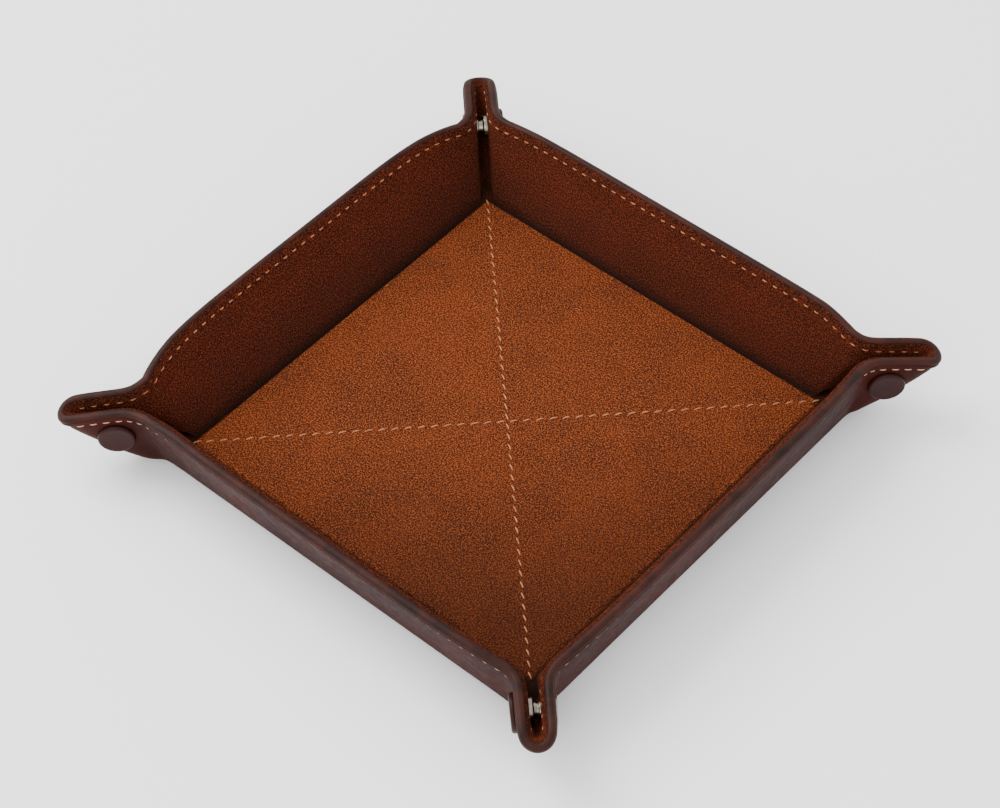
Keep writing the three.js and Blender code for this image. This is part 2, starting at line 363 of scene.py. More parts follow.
def place_anywhere(x, y, height):
    """The same for points of the whole sheet, each on whichever wall's side it lies."""
    x, y, height = as_arrays(x, y, height)
    points = np.zeros(x.shape + (3,))
    normals = np.zeros(x.shape + (3,))
    for index, wall in enumerate(WALLS):
        turned_x, turned_y = turned(x, y, -index)
        found, found_normals = place(wall, turned_x, turned_y, height)
        here = (turned_y >= np.abs(turned_x) - 1e-9)[..., None]
        points = np.where(here, found, points)
        normals = np.where(here, found_normals, normals)
    return points, normals


def rim_distance(x, y):
    """How far a flat point is inside the rim."""
    side, out = np.abs(x), np.maximum(np.abs(x), y)
    centre = RIM - CORNER_RADIUS
    rounded_off = CORNER_RADIUS - np.hypot(side - centre, y - centre)
    return np.where((side > centre) & (y > centre), rounded_off, RIM - out)


def seam_dip(distance):
    """How deep the hem's stitches pull the faces in, at a distance from the rim."""
    return np.exp(-(((distance - HEM_FROM_RIM) / DIP_WIDTH) ** 2))


def groove(x, y):
    """How deep the lining's crease is pinched in, all round the floor."""
    out = np.maximum(np.abs(x), np.abs(y))
    return GROOVE_DEPTH * np.exp(-(((out - LINING_FOLD) / GROOVE_WIDTH) ** 2))


def outer_face(x, y):
    """Height of the leather's face: pulled in at the seam, full beside it, and round at the rim."""
    distance = rim_distance(x, y)
    full = SWELL * np.exp(-(((distance - SWELL_FROM_RIM) / SWELL_WIDTH) ** 2))
    rounding = OUTER_ROUNDING * np.clip(1 - distance / OUTER_ROUNDING_WIDTH, 0, 1) ** 2
    return -HALF_SHEET + OUTER_DIP * seam_dip(distance) - full + rounding


def between_faces(x, y):
    """Height of the face between leather and suede."""
    return LEATHER_TOP - BETWEEN_TURN * np.clip(1 - rim_distance(x, y) / BETWEEN_TURN_WIDTH, 0, 1) ** 2


def lining_face(x, y):
    """Height of the suede's face, which is cut back to the leather at the rim."""
    distance = rim_distance(x, y)
    cut_back = LINING_CUT_BACK * np.clip(1 - distance / LINING_CUT_BACK_WIDTH, 0, 1) ** 2
    return HALF_SHEET - LINING_DIP * seam_dip(distance) - cut_back - groove(x, y)


def whole_sheet(wall, x, y):
    """A wall's flat points as points of the whole sheet, so that the grain doesn't repeat."""
    return turned(x, y, WALLS.index(wall))


def on_wall(wall):
    """For one wall's points: the function that places them, and the one that gives their flat place."""
    return functools.partial(place, wall), functools.partial(whole_sheet, wall)


# ---- meshes ----


def add_object(name, data):
    obj = bpy.data.objects.new(name, data)
    bpy.context.scene.collection.objects.link(obj)
    return obj


def make_object(name, points, faces, material, flat=None, corner_normals=None, sharp_from=60):
    """A smooth mesh. flat is where it lay in the flat sheet, and sharp_from an angle in degrees."""
    mesh = bpy.data.meshes.new(name)
    mesh.from_pydata([tuple(p) for p in points], [], faces)
    mesh.materials.append(material)
    mesh.shade_smooth()
    if corner_normals is None:
        mesh.set_sharp_from_angle(angle=math.radians(sharp_from))
    else:
        mesh.normals_split_custom_set([tuple(n) for n in corner_normals])
    if flat is not None:
        attribute = mesh.attributes.new("flat", "FLOAT_VECTOR", "POINT")
        attribute.data.foreach_set("vector", (flat * MM).astype(np.float32).ravel())
    return add_object(name, mesh)


def grid_faces(columns, rows, first, flip):
    """Quads of a grid of points, which are numbered from first."""
    faces = []
    for i in range(columns - 1):
        for j in range(rows - 1):
            a = first + i * rows + j
            quad = (a, a + rows, a + rows + 1, a + 1)
            faces.append(quad[::-1] if flip else quad)
    return faces


def slab(name, points_at, flat_of, x, y, low, high, material):
    """A closed piece of sheet over a grid of flat points, from the height low to high."""
    columns, rows = x.shape
    top, normals = points_at(x, y, high)
    bottom, low_normals = points_at(x, y, low)
    count = columns * rows
    points = np.concatenate([top.reshape(-1, 3), bottom.reshape(-1, 3)])
    top_faces = grid_faces(columns, rows, 0, False)
    bottom_faces = grid_faces(columns, rows, count, True)
    edge = [i * rows for i in range(columns)]
    edge += [(columns - 1) * rows + j for j in range(1, rows)]
    edge += [i * rows + rows - 1 for i in range(columns - 2, -1, -1)]
    edge += list(range(rows - 2, 0, -1))
    side_faces = [(a, a + count, b + count, b) for a, b in zip(edge, edge[1:] + edge[:1])]
    corner_normals = []
    up = normals.reshape(-1, 3)
    down = -low_normals.reshape(-1, 3)
    for face in top_faces:
        corner_normals += [up[v] for v in face]
    for face in bottom_faces:
        corner_normals += [down[v - count] for v in face]
    for face in side_faces:
        a, b, c = (points[v] for v in face[:3])
        normal = np.cross(b - a, c - a)
        length = np.linalg.norm(normal)
        normal = normal / length if length > 0 else up[face[0]]
        corner_normals += [normal] * 4
    flat_x, flat_y = flat_of(x, y)
    heights = np.broadcast_to(high, x.shape), np.broadcast_to(low, x.shape)
    flat = np.concatenate([np.stack([flat_x, flat_y, h], -1).reshape(-1, 3) for h in heights])
    faces = top_faces + bottom_faces + side_faces
    return make_object(name, points, faces, material, flat, corner_normals)


def rings_object(name, rings, flat, material):
    """Tubes through rings of points. rings is tube, ring, point round the ring, and then x, y, z."""
    tubes, count, around, _ = rings.shape
    faces = []
    for tube in range(tubes):
        first = tube * count * around
        for i in range(count - 1):
            for j in range(around):
                a = first + i * around + j
                b = first + i * around + (j + 1) % around
                faces.append((a, b, b + around, a + around))
        faces.append(tuple(first + j for j in range(around))[::-1])
        last = first + (count - 1) * around
        faces.append(tuple(last + j for j in range(around)))
    return make_object(name, rings.reshape(-1, 3), faces, material, flat.reshape(-1, 3))


def turned_object(name, profile, origin, axis, material):
    """A turned piece. The profile lists radius and height above the sheet's middle, in millimetres."""
    segments = 64
    side = Vector(axis).orthogonal().normalized()
    other = Vector(axis).cross(side)
    angles = np.linspace(0, 2 * math.pi, segments, endpoint=False)
    points = []
    for radius, height in profile:
        for angle in angles:
            out = (side * math.cos(angle) + other * math.sin(angle)) * radius
            points.append(Vector(origin) + (out + Vector(axis) * height) * MM)
    count = len(profile)
    faces = []
    for i in range(count):
        for j in range(segments):
            a = i * segments + j
            b = i * segments + (j + 1) % segments
            c = (i + 1) % count * segments
            faces.append((a, b, c + (j + 1) % segments, c + j))
    return make_object(name, points, faces, material, sharp_from=50)


def rounded(centre, radius, steps=5, start=0):
    """Points of a round corner of a turned profile: a quarter circle around its centre."""
    centre_radius, centre_height = centre
    angles = [math.radians(start + 90 * k / steps) for k in range(steps + 1)]
    return [
        (centre_radius + radius * math.cos(a), centre_height + radius * math.sin(a)) for a in angles
    ]


# ---- materials ----


class Nodes:
    """A material's nodes, with short ways to add and join them."""

    def __init__(self, name):
        self.material = bpy.data.materials.new(name)
        self.material.use_nodes = True
        self.tree = self.material.node_tree
        self.shader = self.tree.nodes["Principled BSDF"]

    def add(self, kind, inputs=None, **settings):
        node = self.tree.nodes.new(kind)
        for key, value in settings.items():
            setattr(node, key, value)
        for key, value in (inputs or {}).items():
            self.set(node.inputs[key], value)
        return node

    def set(self, socket, value):
        if isinstance(value, bpy.types.NodeSocket):
            self.tree.links.new(value, socket)
        else:
            socket.default_value = value

    def sheet_place(self):
        return self.add("ShaderNodeAttribute", attribute_name="flat").outputs["Vector"]

    def object_place(self):
        return self.add("ShaderNodeTexCoord").outputs["Object"]

    def noise(self, at, scale, detail=4.0, roughness=0.55, distortion=0.0):
        inputs = {
            "Vector": at,
            "Scale": scale,
            "Detail": detail,
            "Roughness": roughness,
            "Distortion": distortion,
        }
        return self.add("ShaderNodeTexNoise", inputs).outputs["Fac"]

    def ramp(self, value, low, high, start=0.0, end=1.0):
        inputs = {"Value": value, "From Min": low, "From Max": high, "To Min": start, "To Max": end}
        return self.add("ShaderNodeMapRange", inputs).outputs["Result"]

    def math(self, operation, a, b=0.0):
        return self.add("ShaderNodeMath", {0: a, 1: b}, operation=operation).outputs[0]

    def mix(self, share, a, b):
        node = self.add("ShaderNodeMix", data_type="RGBA")
        self.set(node.inputs["Factor"], share)
        self.set(node.inputs["A"], a)
        self.set(node.inputs["B"], b)
        return node.outputs["Result"]

    def bump(self, height, distance, strength=1.0):
        inputs = {"Height": height, "Distance": distance, "Strength": strength}
        return self.add("ShaderNodeBump", inputs).outputs["Normal"]

    def finish(self, **inputs):
        """Sets the shader's inputs, whose names are written here with _ for a space."""
        for key, value in inputs.items():
            self.set(self.shader.inputs[key.replace("_", " ")], value)
        return self.material


def colour(red, green, blue):
    """A colour given as it looks on screen, from 0 to 255."""
    parts = [c / 255 for c in (red, green, blue)]
    return (*[((c + 0.055) / 1.055) ** 2.4 if c > 0.04 else c / 12.92 for c in parts], 1.0)


def suede_material(name, tones, crease, painted_front_shade):
    """Short brushed nap: a fine speckle, with shade painted into the creases and towards the front right
    corner.

    tones are its shadow, dark, middle and light colours. crease lists distances from the sheet's middle,
    in millimetres, each with how much painted shade darkens the nap there. The last argument is how much
    painted shade darkens the nap towards the front right corner.
    """
    n = Nodes(name)
    at = n.sheet_place()
    shadow, dark, middle_tone, light = (colour(*tone) for tone in tones)
    patches = n.noise(at, 170, 4, 0.6, 0.5)
    speckle = n.noise(at, 2000, 3, 0.65)
    fibres = n.noise(at, 3600, 2, 0.6)
    grain = n.math("ADD", n.math("MULTIPLY", speckle, 0.6), n.math("MULTIPLY", fibres, 0.4))
    parts = n.add("ShaderNodeSeparateXYZ", {0: at}).outputs
    # painted shade: the nap darkens towards the front right corner
    front_shade_mask = n.ramp(n.math("SUBTRACT", parts[0], parts[1]), 0.01, 0.11, 0, painted_front_shade)
    base = n.mix(n.ramp(n.noise(at, 38, 5, 0.6, 0.8), 0.36, 0.64), dark, middle_tone)
    base = n.mix(n.ramp(patches, 0.35, 0.7, 0, 0.45), base, middle_tone)
    base = n.mix(n.ramp(grain, 0.44, 0.5, 0.9, 0), base, shadow)
    base = n.mix(n.ramp(grain, 0.5, 0.57, 0, 0.9), base, light)
    base = n.mix(front_shade_mask, base, shadow)
    from_middle = n.math("MAXIMUM", n.math("ABSOLUTE", parts[0]), n.math("ABSOLUTE", parts[1]))
    # painted shade in the creases: the nap darkens near the folds, by the amounts listed in crease
    for (near, near_shade), (far, far_shade) in zip(crease[:-1], crease[1:]):
        here = n.math("GREATER_THAN", from_middle, near * MM)
        inside = n.math("MULTIPLY", here, n.math("LESS_THAN", from_middle, far * MM))
        crease_shade = n.ramp(from_middle, near * MM, far * MM, near_shade, far_shade)
        base = n.mix(n.math("MULTIPLY", inside, crease_shade), base, colour(14, 5, 2))
    height = n.math("ADD", speckle, n.math("MULTIPLY", fibres, 0.5))
    n.finish(
        Base_Color=base,
        Roughness=n.ramp(patches, 0.3, 0.7, 0.88, 1.0),
        Normal=n.bump(height, 0.0009, 0.9),
        Specular_IOR_Level=0.1,
        Sheen_Weight=0.12,
        Sheen_Roughness=0.5,
        Sheen_Tint=colour(190, 110, 70),
    )
    return n.material


def leather_material():
    """Smooth oiled leather, dark brown with redder pulled-up places and a fine closed grain."""
    n = Nodes("leather")
    at = n.sheet_place()
    clouds = n.noise(at, 30, 5, 0.6, 0.6)
    streaks = n.noise(at, 160, 5, 0.65, 1.5)
    pores = n.add("ShaderNodeTexVoronoi", {"Vector": at, "Scale": 1100.0}).outputs["Distance"]
    wrinkles = n.noise(at, 420, 4, 0.6, 0.6)
    deep = colour(34, 10, 7)
    warm = colour(54, 18, 13)
    worn = colour(78, 34, 26)
    base = n.mix(n.ramp(clouds, 0.36, 0.66), deep, warm)
    base = n.mix(n.ramp(streaks, 0.56, 0.75, 0, 0.45), base, worn)
    height = n.math("ADD", n.math("MULTIPLY", pores, 0.35), n.math("MULTIPLY", wrinkles, 0.8))
    n.finish(
        Base_Color=base,
        Roughness=n.ramp(streaks, 0.3, 0.75, 0.5, 0.7),
        Normal=n.bump(height, 0.00028, 0.6),
        Specular_IOR_Level=0.06,
        Coat_Weight=0.01,
        Coat_Roughness=0.35,
    )
    return n.material


def edge_material():
    """Burnished edge of the sheet: polished by rubbing, with faint lines along it."""
    n = Nodes("burnished_edge")
    at = n.sheet_place()
    clouds = n.noise(at, 90, 5, 0.6, 0.4)
    fine = n.noise(at, 900, 4, 0.6)
    base = n.mix(n.ramp(clouds, 0.35, 0.68), colour(28, 10, 6), colour(54, 23, 15))
    n.finish(
        Base_Color=base,
        Roughness=n.ramp(fine, 0.3, 0.7, 0.45, 0.62),
        Normal=n.bump(fine, 0.0002, 0.5),
        Specular_IOR_Level=0.12,
        Coat_Weight=0.01,
        Coat_Roughness=0.35,
    )
    return n.material


def thread_material():
    """Waxed thread: twisted strands, with shade painted into their grooves, which leaves their crowns
    paler, and less rubbed on the outside.
    """
    n = Nodes("thread")
    at = n.object_place()
    twist = n.add(
        "ShaderNodeTexWave",
        {"Vector": at, "Scale": 620.0, "Distortion": 1.2, "Detail": 2.0},
        bands_direction="DIAGONAL",
    ).outputs["Fac"]
    tone = n.noise(at, 500, 3)
    height = n.add("ShaderNodeSeparateXYZ", {0: n.sheet_place()}).outputs[2]
    base = n.mix(n.ramp(tone, 0.3, 0.7), colour(146, 90, 60), colour(194, 134, 97))
    base = n.mix(n.ramp(height, -0.001, 0.0, 0.7, 0), base, colour(194, 164, 132))
    # painted shade in the grooves of the twist
    base = n.mix(n.ramp(twist, 0.0, 0.45, 0.5, 0), base, colour(112, 66, 42))
    n.finish(Base_Color=base, Roughness=0.7, Specular_IOR_Level=0.15, Normal=n.bump(twist, 0.0001, 0.6))
    return n.material


def paint_material():
    """Satin enamel of the caps, with a few dulled places."""
    n = Nodes("snap_paint")
    at = n.object_place()
    haze = n.noise(at, 160, 5, 0.6)
    orange_peel = n.noise(at, 900, 2)
    base = n.mix(n.ramp(haze, 0.35, 0.7), colour(36, 14, 13), colour(48, 21, 19))
    n.finish(
        Base_Color=base,
        Roughness=n.ramp(haze, 0.3, 0.7, 0.3, 0.46),
        Normal=n.bump(orange_peel, 0.00005, 0.4),
        Specular_IOR_Level=0.1,
        Coat_Weight=0.01,
        Coat_Roughness=0.25,
    )
    return n.material


def nickel_material():
    """Bright nickel plate with faint wipe marks."""
    n = Nodes("nickel")
    at = n.object_place()
    marks = n.noise(at, 700, 4, 0.6)
    base = n.mix(n.ramp(marks, 0.3, 0.7), colour(112, 105, 94), colour(152, 144, 132))
    n.finish(
        Base_Color=base,
        Metallic=1.0,
        Roughness=n.ramp(marks, 0.3, 0.7, 0.18, 0.34),
        Normal=n.bump(marks, 0.00003, 0.3),
    )
    return n.material


def backdrop_material():
    n = Nodes("backdrop")
    cloud = n.noise(n.object_place(), 3, 3)
    base = n.mix(cloud, colour(250, 250, 250), colour(253, 253, 253))
    n.finish(Base_Color=base, Roughness=0.6)
    return n.material


SUEDE = suede_material(
    "suede",
    tones=((22, 6, 2), (50, 16, 5), (92, 37, 13), (162, 84, 42)),
    # painted shade near the floor's folds
    crease=((70.6, 0), (FLOOR_EDGE, 0.9), (90, 0.9)),
    # painted shade towards the front right corner
    painted_front_shade=0.55,
)
# a darker copy of the suede for walls, ears and folds: its darkness is painted shade, with more painted
# shade near the floor
SHADED_SUEDE = suede_material(
    "wall_suede",
    tones=((9, 2, 1), (27, 5, 2), (56, 13, 4), (124, 52, 26)),
    crease=((60, 0.95), (72.6, 0.95), (75.5, 0.4), (92, 0)),
    painted_front_shade=0,
)
LEATHER = leather_material()
EDGE = edge_material()
THREAD = thread_material()
PAINT = paint_material()
NICKEL = nickel_material()

# ---- floor ----


def floor_edge(share):
    """Half the floor piece's width, at a share of the way from the middle of a wall to the corner."""
    runs_out = smoothstep(FLOOR_EDGE_TURN, WALL_END, np.abs(share) * FOLD)
    return FLOOR_EDGE + (FOLD - FLOOR_EDGE) * runs_out


def keep_flat(x, y):
    return x, y


def make_floor():
    line = np.linspace(-1, 1, 161)
    a, b = np.meshgrid(line, line, indexing="ij")
    x = a * floor_edge(b)
    y = b * floor_edge(a)
    bottom, top = -HALF_SHEET, HALF_SHEET - groove(x, y)
    leather = slab("floor_outer", place_anywhere, keep_flat, x, y, bottom, LEATHER_TOP, LEATHER)
    suede = slab("floor_lining", place_anywhere, keep_flat, x, y, LEATHER_TOP, top, SUEDE)
    for piece, node, slot in (
        (leather, "floor_leather", "leather"),
        (suede, "floor_suede", "suede"),
    ):
        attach(piece, "floor")
        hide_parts(node)


# ---- stitches ----


def stitch_rings(starts, ends, face, side):
    """Rings of short threads on a face of the sheet, each sunk at its two ends. All in flat points."""
    along = np.linspace(0, 1, 7)
    angles = np.linspace(0, 2 * math.pi, 8, endpoint=False)
    starts = np.asarray(starts, float)
    ends = np.asarray(ends, float)
    direction = ends - starts
    direction /= np.linalg.norm(direction, axis=1, keepdims=True)
    across = np.stack([-direction[:, 1], direction[:, 0]], -1)
    centre = starts[:, None] + (ends - starts)[:, None] * along[None, :, None]
    hump = 1 - (2 * along - 1) ** 2
    radius = STITCH_RADIUS * (STITCH_TIP + (1 - STITCH_TIP) * np.sqrt(hump))
    height = face + side * (STITCH_HUMP * hump - STITCH_SUNK)
    sideways = radius[:, None] * np.cos(angles)[None]
    upwards = STITCH_FLATNESS * radius[:, None] * np.sin(angles)[None]
    flat = centre[:, :, None, :] + across[:, None, None, :] * sideways[None, :, :, None]
    heights = height[:, None] + upwards
    return flat[..., 0], flat[..., 1], np.broadcast_to(heights, flat.shape[:-1])


def stitches(name, points_at, starts, ends, face, side):
    """One piece with all the stitches between those starts and ends."""
    x, y, heights = stitch_rings(starts, ends, face, side)
    points, _ = points_at(x, y, heights)
    piece = rings_object(name, points, np.stack([x, y, heights], -1), THREAD)
    return piece


def make_cross_seams():
    count = round(2 * CROSS_SEAM_END * math.sqrt(2) / STITCH_PITCH)
    pitch = 2 * CROSS_SEAM_END / count
    half = CROSS_STITCH_LENGTH / math.sqrt(2) / 2
    starts, ends = [], []
    for direction in (1, -1):
        slant = -CROSS_STITCH_SLANT * direction
        for number in range(count):
            t = -CROSS_SEAM_END + (number + 0.5) * pitch
            starts.append((t - half - slant, direction * (t - half + slant)))
            ends.append((t + half + slant, direction * (t + half - slant)))
    below = -HALF_SHEET + CROSS_SUNK_BELOW
    inside = stitches("floor_cross_stitches", place_anywhere, starts, ends, HALF_SHEET, 1)
    outside = stitches("floor_cross_stitches_below", place_anywhere, starts, ends, below, -1)
    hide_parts("floor_cross_stitch_thread")
    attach(inside, "floor")
    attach(outside, "floor")


# ---- walls ----


def wall_point(wall, x, y):
    """One flat point of a wall, in metres, as a vector."""
    point, _ = place(wall, np.array([x], float), np.array([y], float), 0)
    return Vector(point[0])


def bend_from_floor(piece, wall):
    """The piece's place is baked into its mesh."""
    start = wall_point(wall, 0, FOLD - WALL_BEND_REACH)
    end = wall_point(wall, 0, FOLD + WALL_BEND_REACH)
    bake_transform(piece)


def rim_line(x):
    """The y of the rim at any x, along the wall and round its corner."""
    centre = RIM - CORNER_RADIUS
    return centre + np.sqrt(CORNER_RADIUS**2 - np.clip(x - centre, 0, None) ** 2)


def rim_parts():
    """Half a wall's rim in three parts: the wall's, the ear's and that of the ear's folded edge.

    Each is a list of flat points with the way out of the sheet at each, from the wall's middle on.
    """
    centre = RIM - CORNER_RADIUS
    wall = [(x, RIM, 0, 1) for x in np.linspace(0, WALL_END, 50)]
    ear = [(x, RIM, 0, 1) for x in np.linspace(WALL_END, centre, 22)]
    fold = []
    for part, angles in (
        (ear, np.linspace(math.pi / 2, FOLD_CUT_ANGLE, 5)[1:]),
        (fold, np.linspace(FOLD_CUT_ANGLE, math.pi / 4, 14)),
    ):
        for angle in angles:
            out_x, out_y = math.cos(angle), math.sin(angle)
            x, y = centre + CORNER_RADIUS * out_x, centre + CORNER_RADIUS * out_y
            part.append((x, y, out_x, out_y))
    return {"wall": np.array(wall), "ear": np.array(ear), "fold": np.array(fold)}


def edge_piece(name, wall, part):
    """The rounded, burnished edge along part of a rim."""
    angles = np.linspace(-math.pi / 2, math.pi / 2, 11)
    out = np.concatenate([BEAD_FROM_RIM + BEAD_REACH * np.cos(angles), [BEAD_BACK, BEAD_BACK]])
    height = np.concatenate([BEAD_HEIGHT + BEAD_HALF_THICKNESS * np.sin(angles), BEAD_BACK_HEIGHTS])
    x = part[:, 0:1] + part[:, 2:3] * out[None]
    y = part[:, 1:2] + part[:, 3:4] * out[None]
    heights = np.broadcast_to(height[None], x.shape)
    places, _ = place(wall, x, y, heights)
    flat_x, flat_y = whole_sheet(wall, x, y)
    flat = np.stack([flat_x, flat_y, heights], -1)
    piece = rings_object(name, places[None, :, ::-1], flat[None, :, ::-1], EDGE)
    return piece


def mirrored(part):
    """Part of a rim on the other side of the wall's middle, in the same direction along the rim."""
    return part[::-1] * [-1, 1, -1, 1]


def hem_stitches(part, stitch_length):
    """Starts and ends of the stitches along part of a rim."""
    points = part[:, :2] - part[:, 2:] * HEM_FROM_RIM
    steps = np.linalg.norm(np.diff(points, axis=0), axis=1)
    length = np.concatenate([[0], np.cumsum(steps)])
    count = max(1, round(length[-1] / STITCH_PITCH))
    pitch = length[-1] / count
    starts, ends = [], []
    for number in range(count):
        middle = (number + 0.5) * pitch
        for found, shift in ((starts, -0.5), (ends, 0.5)):
            along = middle + shift * stitch_length
            found.append([np.interp(along, length, points[:, axis]) for axis in (0, 1)])
    return starts, ends


def make_wall(wall):
    line = np.linspace(-1, 1, 91)
    up = np.linspace(0, 1, 66)
    a, b = np.meshgrid(line, up, indexing="ij")
    x = a * WALL_END
    bottom = floor_edge(x / FOLD)
    y = bottom + (RIM - bottom) * b
    points_at, flat_of = on_wall(wall)
    low, middle, high = outer_face(x, y), between_faces(x, y), lining_face(x, y)
    leather = slab(f"{wall}_wall_outer", points_at, flat_of, x, y, low, middle, LEATHER)
    suede = slab(f"{wall}_wall_lining", points_at, flat_of, x, y, middle, high, SHADED_SUEDE)
    for piece, node, slot in (
        (leather, f"{wall}_wall_leather", "leather"),
        (suede, f"{wall}_wall_suede", "suede"),
    ):
        bend_from_floor(piece, wall)
        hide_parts(node)
    half = rim_parts()["wall"]
    whole = np.concatenate([mirrored(half), half[1:]])
    edge = edge_piece(f"{wall}_wall_edge", wall, whole)
    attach(edge, f"{wall}_wall")
    for where, face, side, stitch_length in SEAM_SIDES:
        starts, ends = hem_stitches(whole, stitch_length)
        piece = stitches(f"{wall}_wall_hem_stitches_{where}", points_at, starts, ends, face, side)
        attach(piece, f"{wall}_wall")
        if where == "inside":
            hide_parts(f"{wall}_wall_hem_thread")


def make_lining_fold(wall):
    """The lining bunched up inside the fold, where it stands off the wall."""
    low, high = LINING_FOLD - LINING_OVERLAP, LINING_FOLD + LINING_BEND_TOP
    line = np.linspace(-1, 1, 121)
    a, y = np.meshgrid(line, np.linspace(low, high, 40), indexing="ij")
    x = a * (y - LINING_CUT)
    foot = LINING_FLOOR - LINING_FOOT_DIP * (1 - smoothstep(low, low + LINING_FOOT_RISE, y))
    points_at = functools.partial(place, wall, grid=LINING_GRID, rise=foot)
    _, flat_of = on_wall(wall)
    piece = slab(f"{wall}_lining_fold", points_at, flat_of, x, y, -LINING_SHELL, 0, SHADED_SUEDE)
    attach(piece, "floor")
    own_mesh(piece)


# ---- ears ----


def wrap_end(across):
    """The y of the rim, at a distance from the corner's diagonal within the folded edge."""
    centre = RIM - CORNER_RADIUS
    share = np.clip(across / CORNER_RADIUS, 0, math.sin(math.pi / 4))
    return centre + CORNER_RADIUS * np.sin(math.pi / 4 + np.arcsin(share))


def ear_region():
    """Flat points of the ear, from the wall to its folded edge."""
    across, up = np.meshgrid(np.linspace(0, 1, 31), np.linspace(0, 1, 56), indexing="ij")
    bottom = WALL_END + (FOLD - FOLD_WRAP * math.sqrt(2) - WALL_END) * across
    cut = RIM - CORNER_RADIUS + CORNER_RADIUS * math.cos(FOLD_CUT_ANGLE)
    top = WALL_END + (cut - WALL_END) * across
    return bottom + (top - bottom) * up, FOLD + (rim_line(top) - FOLD) * up


def fold_region():
    """Flat points of the ear's half of the folded edge."""
    turn, up = np.meshgrid(np.linspace(1, 0, 15), np.linspace(0, 1, 56), indexing="ij")
    away = FOLD_WRAP * turn
    y = FOLD + (wrap_end(away) - FOLD) * up
    return y - away * math.sqrt(2), y


def flap_region():
    """Flat points along the ear's folded edge, with how far beyond it each lies in the ear's plane."""
    beyond = np.linspace(0, FLAP_WIDTH, 5)
    beyond, up = np.meshgrid(beyond, np.linspace(FLAP_START, FLAP_END, 40), indexing="ij")
    y = FOLD + (wrap_end(FOLD_WRAP) - FOLD) * up
    return y - FOLD_WRAP * math.sqrt(2), y, beyond


def ear_frame(wall, sign):
    """A point of the ear at its snap, and its way out of the tray."""
    x, y = snap_place(sign)
    points, normals = place(wall, np.array([x]), np.array([y]), 0)
    return Vector(points[0]), -Vector(normals[0])


def on_side(sign, *grids):
    """Grids of flat points moved to the wall's other side, if sign is -1. The first grid is x."""
    if sign > 0:
        return grids
    return (-grids[0][::-1], *[grid[::-1] for grid in grids[1:]])


def make_ear_flap(wall, sign, body):
    """The lining's inner layer inside the folded edge, which closes the lining when the ear opens."""
    x, y, beyond = on_side(sign, *flap_region())
    _, out = ear_frame(wall, sign)
    edge_points, _ = place(wall, x, y, 0)
    inwards, _ = place(wall, x - sign * 1.0, y + 1.0, 0)
    along = edge_points - inwards
    along /= np.linalg.norm(along, axis=-1, keepdims=True)
    middle = edge_points + along * beyond[..., None] * MM
    inside = -np.array(out)

    def points_at(_x, _y, height):
        points = middle + height[..., None] * inside * MM
        return points, np.broadcast_to(inside, points.shape)

    def flat_of(x, y):
        shift = beyond / math.sqrt(2)
        return whole_sheet(wall, x + sign * shift, y - shift)

    low, high = (np.full(x.shape, height) for height in FLAP_HEIGHTS)
    piece = slab(f"{body}_flap", points_at, flat_of, x, y, low, high, SHADED_SUEDE)
    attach(piece, body)


def make_ear(wall, sign):
    body = f"{CORNERS[wall][sign]}_{wall}_ear"
    points_at, flat_of = on_wall(wall)
    parts = {"ear": [], "fold": []}
    for part, region in (("ear", ear_region), ("fold", fold_region)):
        x, y = on_side(sign, *region())
        name = body if part == "ear" else f"{body}_fold"
        low, middle, high = outer_face(x, y), between_faces(x, y), lining_face(x, y)
        leather = slab(f"{name}_outer", points_at, flat_of, x, y, low, middle, LEATHER)
        suede = slab(f"{name}_lining", points_at, flat_of, x, y, middle, high, SHADED_SUEDE)
        parts[part] += [leather, suede]
        rim = rim_parts()[part]
        rim = rim if sign > 0 else mirrored(rim)
        parts[part].append(edge_piece(f"{name}_edge", wall, rim))
        for where, face, side, stitch_length in SEAM_SIDES:
            if part == "fold" and where == "inside":
                continue
            starts, ends = hem_stitches(rim, stitch_length)
            thread = stitches(f"{name}_stitches_{where}", points_at, starts, ends, face, side)
            parts[part].append(thread)
            if part == "ear" and where == "inside":
                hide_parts(f"{body}_hem_thread")
    for piece, node in zip(parts["ear"][:2], ("leather", "suede")):
        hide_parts(f"{body}_{node}")

    # the ear's pieces are baked in place, and those of its folded edge go with the ear, each with a mesh
    # of its own
    middle = wall_point(wall, sign * CREASE_MIDDLE[0], CREASE_MIDDLE[1])
    snap, out = ear_frame(wall, sign)
    for piece in parts["ear"]:
        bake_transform(piece)
    for piece in parts["fold"]:
        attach(piece, body)
        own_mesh(piece)
    make_ear_flap(wall, sign, body)
    make_snap(wall, sign, body)


def make_gusset(index):
    """The folded lining inside the foot of an ear, which closes the corner of the floor when it opens."""
    line = np.linspace(FOLD - GUSSET_REACH, FOLD + GUSSET_REACH / 2, 34)
    x, y = np.meshgrid(line, line, indexing="ij")
    turned_x, turned_y = turned(x, y, index)
    high = np.full(x.shape, GUSSET_HALF_THICKNESS)
    name = f"{CORNERS[WALLS[index]][1]}_gusset"
    piece = slab(name, place_anywhere, keep_flat, turned_x, turned_y, -high, high, SHADED_SUEDE)
    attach(piece, "floor")
    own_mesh(piece)


# ---- snap fasteners ----


def snap_place(sign):
    """The flat point of the ear where its snap sits."""
    along = SNAP_FROM_CREASE * math.cos(CREASE_SLANT) + SNAP_UP_CREASE * math.sin(CREASE_SLANT)
    up = SNAP_UP_CREASE * math.cos(CREASE_SLANT) - SNAP_FROM_CREASE * math.sin(CREASE_SLANT)
    return sign * (CREASE_START + along), FOLD + up


